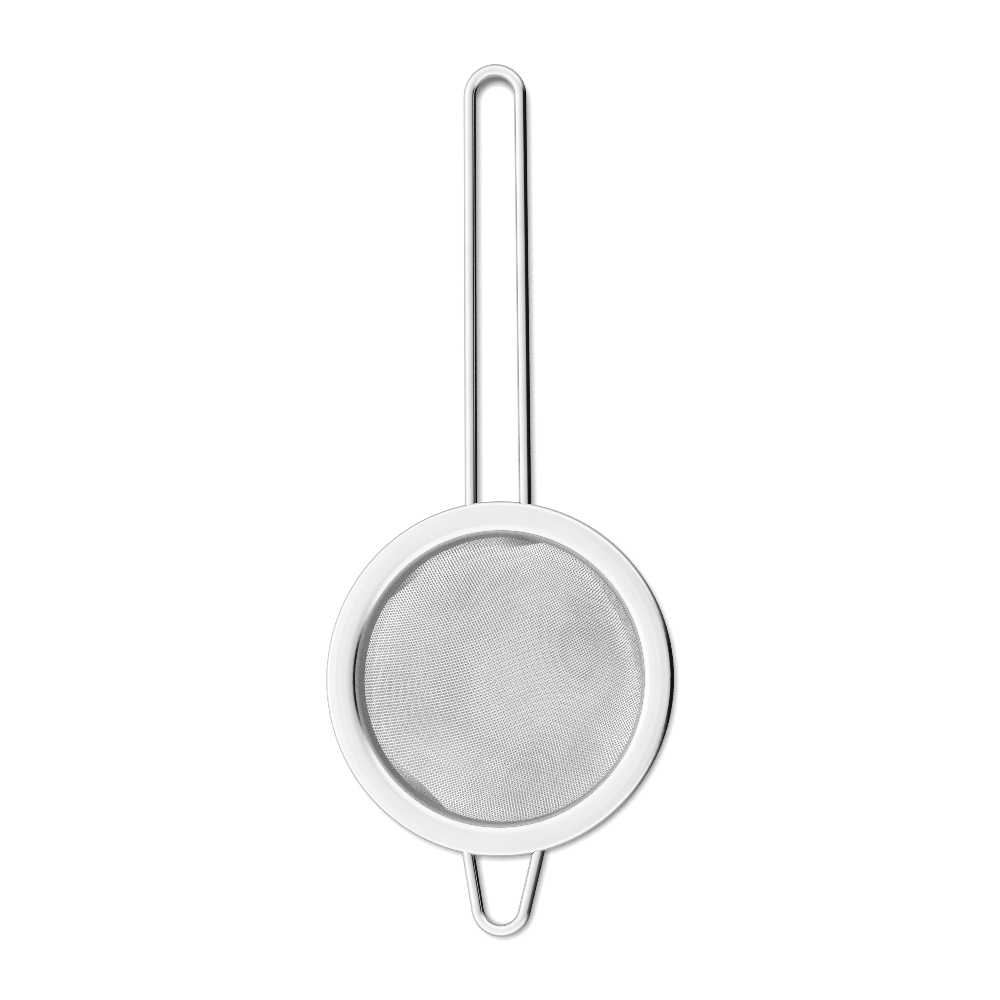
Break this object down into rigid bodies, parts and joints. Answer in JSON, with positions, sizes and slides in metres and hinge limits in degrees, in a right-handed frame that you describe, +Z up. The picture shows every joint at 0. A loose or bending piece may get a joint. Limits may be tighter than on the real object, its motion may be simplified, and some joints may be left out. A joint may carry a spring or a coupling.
{
  "type": "tea strainer",
  "caption": "Round tea strainer with a woven steel bowl in a polished flat rim, a long wire loop handle and a short wire rest hook.",
  "frame": {"origin": "centre of the bowl's mouth, level with the flat crest of the rim", "axes": "+Z up out of the bowl, +Y along the handle, -Y towards the rest hook"},
  "size_m": [0.08, 0.197, 0.0239],
  "materials": {
    "polished_rim": "polished",
    "clamp_band": "satin",
    "woven_cloth": "satin",
    "polished_wire": "polished",
    "weld": "matte"
  },
  "bodies": {
    "root": {"rim_ring": "polished_rim", "clamp_ring": "clamp_band", "mesh_bowl": "woven_cloth", "handle_wire": "polished_wire", "rest_hook_wire": "polished_wire", "handle_spot_welds": "weld", "hook_spot_welds": "weld"}
  },
  "joints": []
}
